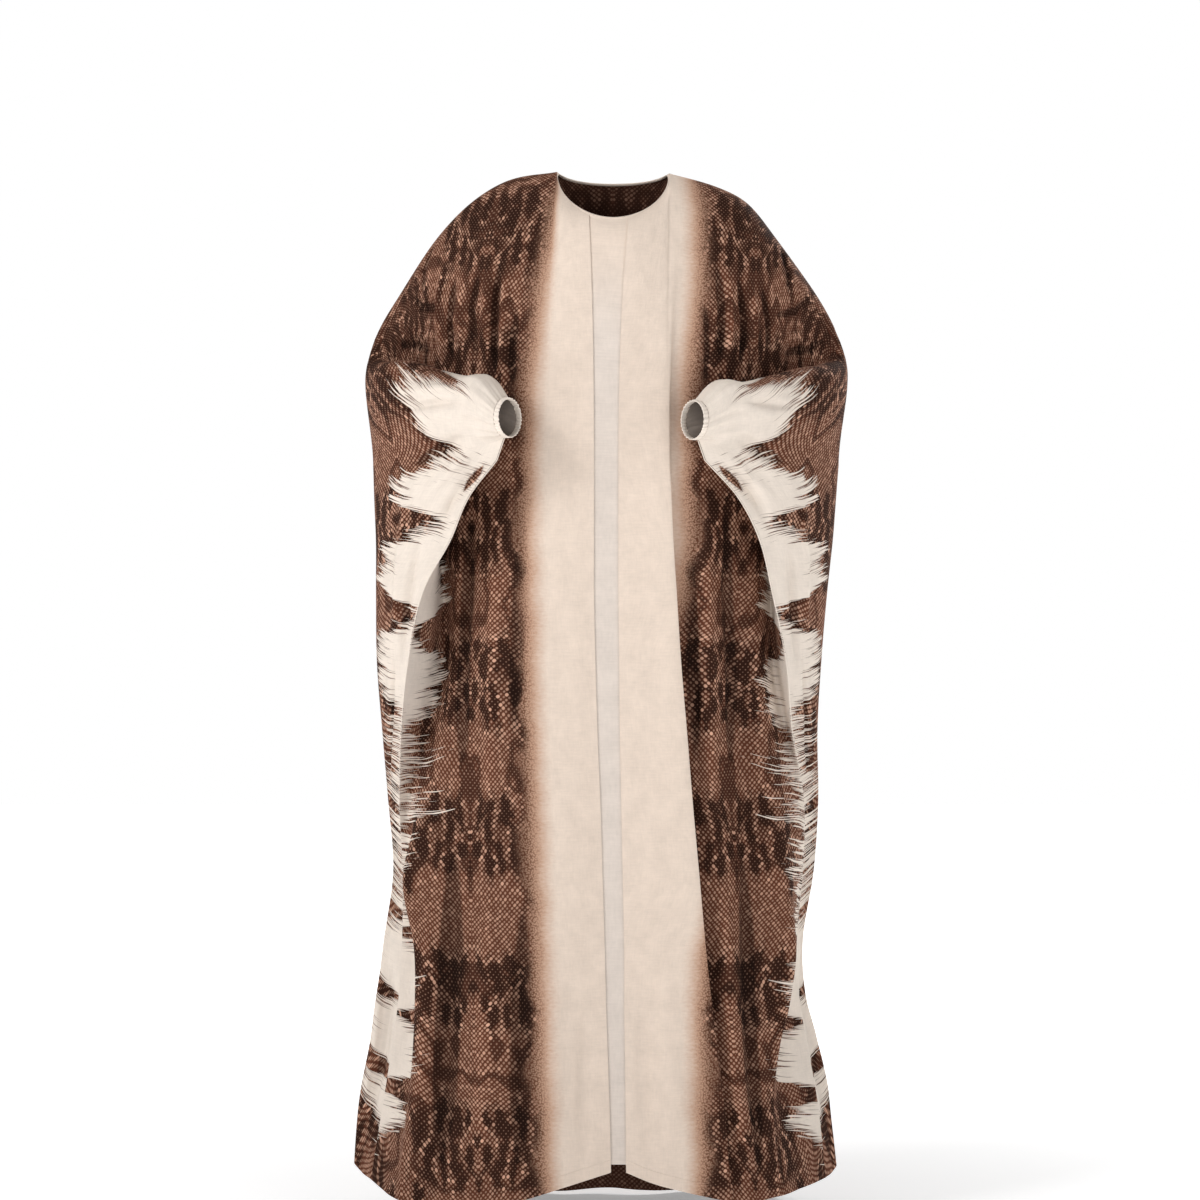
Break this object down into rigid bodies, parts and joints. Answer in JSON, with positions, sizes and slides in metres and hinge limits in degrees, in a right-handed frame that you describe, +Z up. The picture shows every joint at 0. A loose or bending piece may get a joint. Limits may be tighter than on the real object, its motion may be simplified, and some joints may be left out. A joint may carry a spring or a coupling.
{
  "type": "isdal gown",
  "caption": "Full-length batwing gown as worn, hollow, with a round neck, gathered cuffs, an inset strip behind two free front edges, and hanging side wings.",
  "frame": {"origin": "middle of the neck hole at the height of the shoulder line, where the wearer's neck and shoulders carry the gown", "axes": "+Z up along the gown, -Y to the front, +X to the wearer's left"},
  "size_m": [0.7061, 0.3918, 1.489],
  "materials": {
    "printed_cloth": "light woven cloth with a soft sheen, printed in brown scale pattern, with beige front and off-white feathered side borders",
    "strip_cloth": "plain pale grey-beige woven cloth, linen look",
    "binding_cloth": "narrow bias binding in beige",
    "cuff_cloth": "cream printed cloth gathered on elastic"
  },
  "bodies": {
    "root": {"front_right": "printed_cloth", "front_left": "printed_cloth", "back": "printed_cloth", "centre_strip": "strip_cloth", "neck_binding": "binding_cloth", "cuff_casing_right": "cuff_cloth", "cuff_casing_left": "cuff_cloth"}
  },
  "joints": []
}
